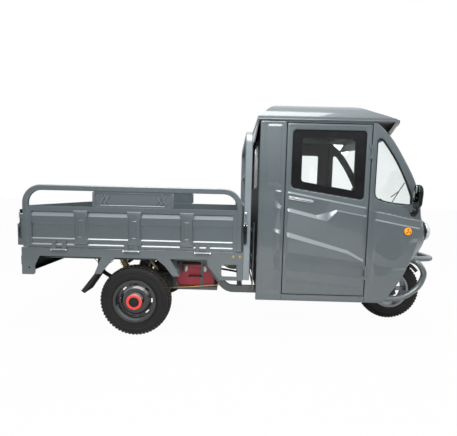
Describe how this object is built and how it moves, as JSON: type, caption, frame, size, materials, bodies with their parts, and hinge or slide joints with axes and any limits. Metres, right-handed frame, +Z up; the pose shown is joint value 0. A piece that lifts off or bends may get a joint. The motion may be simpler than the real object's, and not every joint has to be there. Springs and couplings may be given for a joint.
{
  "type": "electric cargo tricycle with closed cab",
  "caption": "Three-wheeled electric cargo vehicle: closed two-door cab over a steered front wheel, flat bed with drop sides and tailgate over a sprung rear axle.",
  "frame": {"origin": "on the ground under the middle of the vehicle's length and width", "axes": "+X forward, +Y to the vehicle's left, +Z up"},
  "size_m": [3.3369, 1.32, 1.838],
  "materials": {
    "paint": "gloss",
    "rack_paint": "gloss",
    "black_steel": "satin",
    "rubber": "matte",
    "tyre": "matte",
    "rim_black": "gloss",
    "rim_grey": "satin",
    "red": "gloss",
    "battery_red": "gloss",
    "glass": "clear",
    "lens": "clear",
    "amber": "gloss",
    "lamp_red": "gloss",
    "chrome": "polished",
    "brass": "satin",
    "black_plastic": "satin",
    "vinyl": "satin",
    "motor_grey": "satin"
  },
  "bodies": {
    "chassis": {"chassis_frame": "paint", "bed_frame": "paint", "bed_brackets": "paint", "head_rack": "rack_paint", "head_board": "paint", "lamp_panel": "black_plastic", "tail_lamps": "lamp_red", "mud_flaps": "rubber", "front_latches": "black_steel", "rear_axle": "black_steel", "drive_motor": "motor_grey", "leaf_springs": "black_steel", "shock_absorbers": "brass", "battery_box": "battery_red", "brake_rods": "brass", "cab_floor": "black_steel", "cab_side_left": "paint", "cab_side_right": "paint", "cab_rear_wall": "paint", "fixed_glass": "glass", "cab_nose": "paint", "windscreen": "glass", "roof": "paint", "dashboard": "black_plastic", "seat_base": "black_steel", "seat_pads": "vinyl", "headlamp_bezels": "black_plastic", "headlamp_lenses": "lens", "side_signals": "amber", "mirrors": "black_plastic", "wiper": "black_steel", "bumper": "paint"},
    "steering": {"front_fork": "black_steel", "handlebar": "black_steel", "front_mudguard": "black_plastic"},
    "front_wheel": {"tyre_front": "tyre", "rim_front": "rim_grey"},
    "rear_wheel_left": {"tyre_rear_left": "tyre", "rim_rear_left": "rim_black", "hub_ring_left": "red"},
    "rear_wheel_right": {"tyre_rear_right": "tyre", "rim_rear_right": "rim_black", "hub_ring_right": "red"},
    "side_gate_left": {"side_gate_left": "paint"},
    "side_gate_right": {"side_gate_right": "paint"},
    "tailgate": {"tailgate": "paint"},
    "door_left": {"door_left": "paint", "door_glass_left": "glass", "door_handle_left": "chrome"},
    "door_right": {"door_right": "paint", "door_glass_right": "glass", "door_handle_right": "chrome"}
  },
  "joints": [
    {"name": "steer", "type": "hinge", "parent": "chassis", "child": "steering", "pos_m": [1.17158, 0, 0.725], "axis": [-0.3746, 0, 0.9272], "range_deg": [-36, 36]},
    {"name": "front_wheel_spin", "type": "hinge", "parent": "steering", "child": "front_wheel", "pos_m": [1.3945, 0, 0.274], "axis": [0, 1, 0], "continuous": true},
    {"name": "rear_wheel_left_spin", "type": "hinge", "parent": "chassis", "child": "rear_wheel_left", "pos_m": [-0.8055, 0.5, 0.274], "axis": [0, 1, 0], "continuous": true},
    {"name": "rear_wheel_right_spin", "type": "hinge", "parent": "chassis", "child": "rear_wheel_right", "pos_m": [-0.8055, -0.5, 0.274], "axis": [0, 1, 0], "continuous": true},
    {"name": "side_gate_left_drop", "type": "hinge", "parent": "chassis", "child": "side_gate_left", "pos_m": [-0.8155, 0.606, 0.672], "axis": [-1, 0, 0], "range_deg": [0, 175]},
    {"name": "side_gate_right_drop", "type": "hinge", "parent": "chassis", "child": "side_gate_right", "pos_m": [-0.8155, -0.606, 0.672], "axis": [1, 0, 0], "range_deg": [0, 175]},
    {"name": "tailgate_drop", "type": "hinge", "parent": "chassis", "child": "tailgate", "pos_m": [-1.6495, 0, 0.672], "axis": [0, -1, 0], "range_deg": [0, 175]},
    {"name": "door_left_swing", "type": "hinge", "parent": "chassis", "child": "door_left", "pos_m": [0.9515, 0.539, 1], "axis": [0, 0, -1], "range_deg": [0, 68]},
    {"name": "door_right_swing", "type": "hinge", "parent": "chassis", "child": "door_right", "pos_m": [0.9515, -0.539, 1], "axis": [0, 0, 1], "range_deg": [0, 68]}
  ]
}
